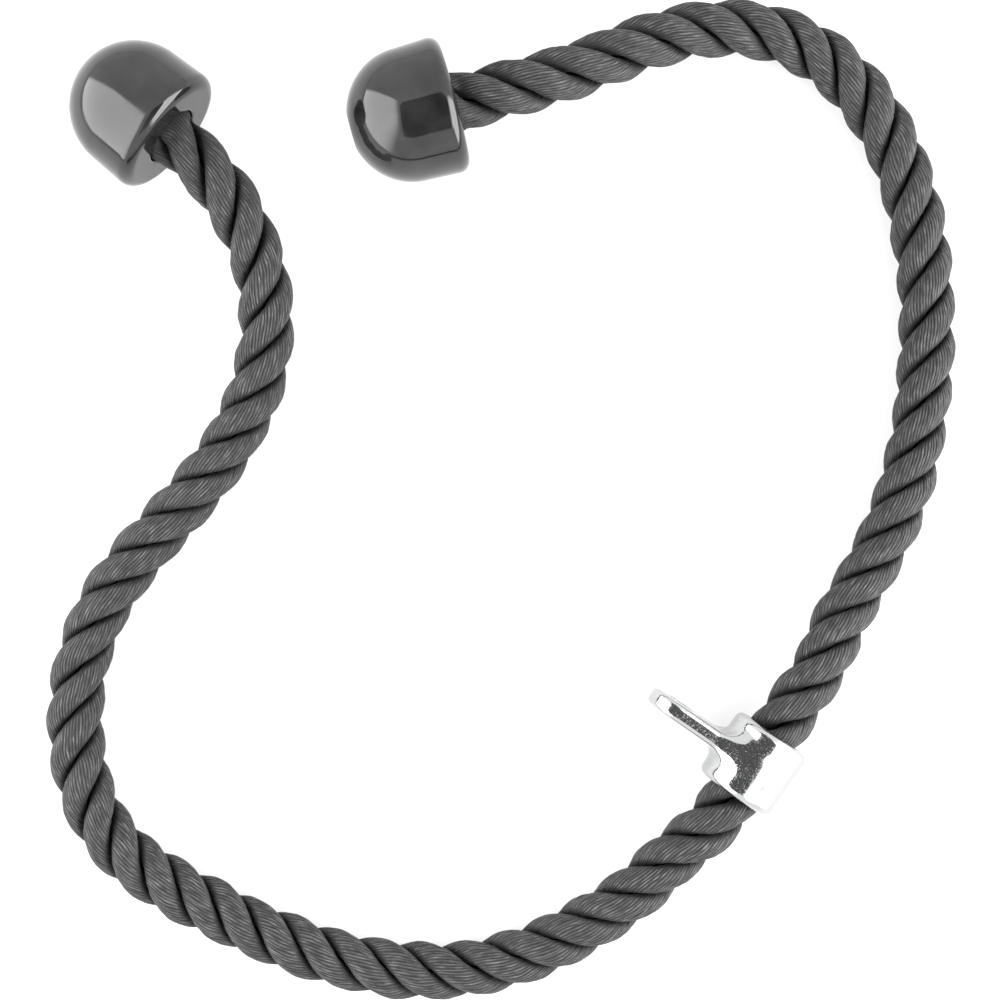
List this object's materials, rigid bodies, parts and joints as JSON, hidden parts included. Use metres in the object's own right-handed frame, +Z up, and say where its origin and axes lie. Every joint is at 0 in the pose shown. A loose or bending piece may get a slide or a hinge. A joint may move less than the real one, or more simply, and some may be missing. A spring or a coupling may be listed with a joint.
{
  "type": "triceps rope attachment",
  "caption": "Cable machine rope attachment: a thick three-strand rope doubled through a chromed collar with a lug and eye, with a domed end cap on each end.",
  "frame": {"origin": "on the surface that the part lies on, under the middle of the box round the collar and both caps", "axes": "+X along the bore of the collar, +Y the way the lug points at rest, +Z up from the surface"},
  "size_m": [0.4816, 0.4206, 0.0574],
  "materials": {
    "rope": "satin nylon yarn",
    "chrome": "polished",
    "liner": "satin",
    "cap": "gloss",
    "plug": "gloss",
    "plated": "zinc plated"
  },
  "bodies": {
    "rope": {"rope_middle": "rope", "rope_left_bend": "rope", "rope_right_bend": "rope"},
    "liner": {"collar_liner": "liner"},
    "collar": {"collar": "chrome"},
    "left_half": {"rope_left_run": "rope", "left_cap": "cap", "left_plug": "plug", "left_ferrule": "plated", "left_washer": "plated", "left_screw": "plated"},
    "right_half": {"rope_right_run": "rope", "right_cap": "cap", "right_plug": "plug", "right_ferrule": "plated", "right_washer": "plated", "right_screw": "plated"}
  },
  "joints": [
    {"name": "collar_slide", "type": "slide", "parent": "rope", "child": "liner", "axis": [1, 0, 0], "range_m": [-0.01, 0.03]},
    {"name": "collar_swivel", "type": "hinge", "parent": "liner", "child": "collar", "pos_m": [-0.08, -0.1923, 0.018], "axis": [1, 0, 0], "continuous": true},
    {"name": "left_fold", "type": "hinge", "parent": "rope", "child": "left_half", "pos_m": [-0.13721, -0.18622, 0.01384], "axis": [0, 0, 1], "range_deg": [0, 90], "deforming": ["rope_left_bend"]},
    {"name": "right_fold", "type": "hinge", "parent": "rope", "child": "right_half", "pos_m": [-0.00242, -0.1883, 0.01392], "axis": [0, 0, -1], "range_deg": [0, 90], "deforming": ["rope_right_bend"]}
  ]
}
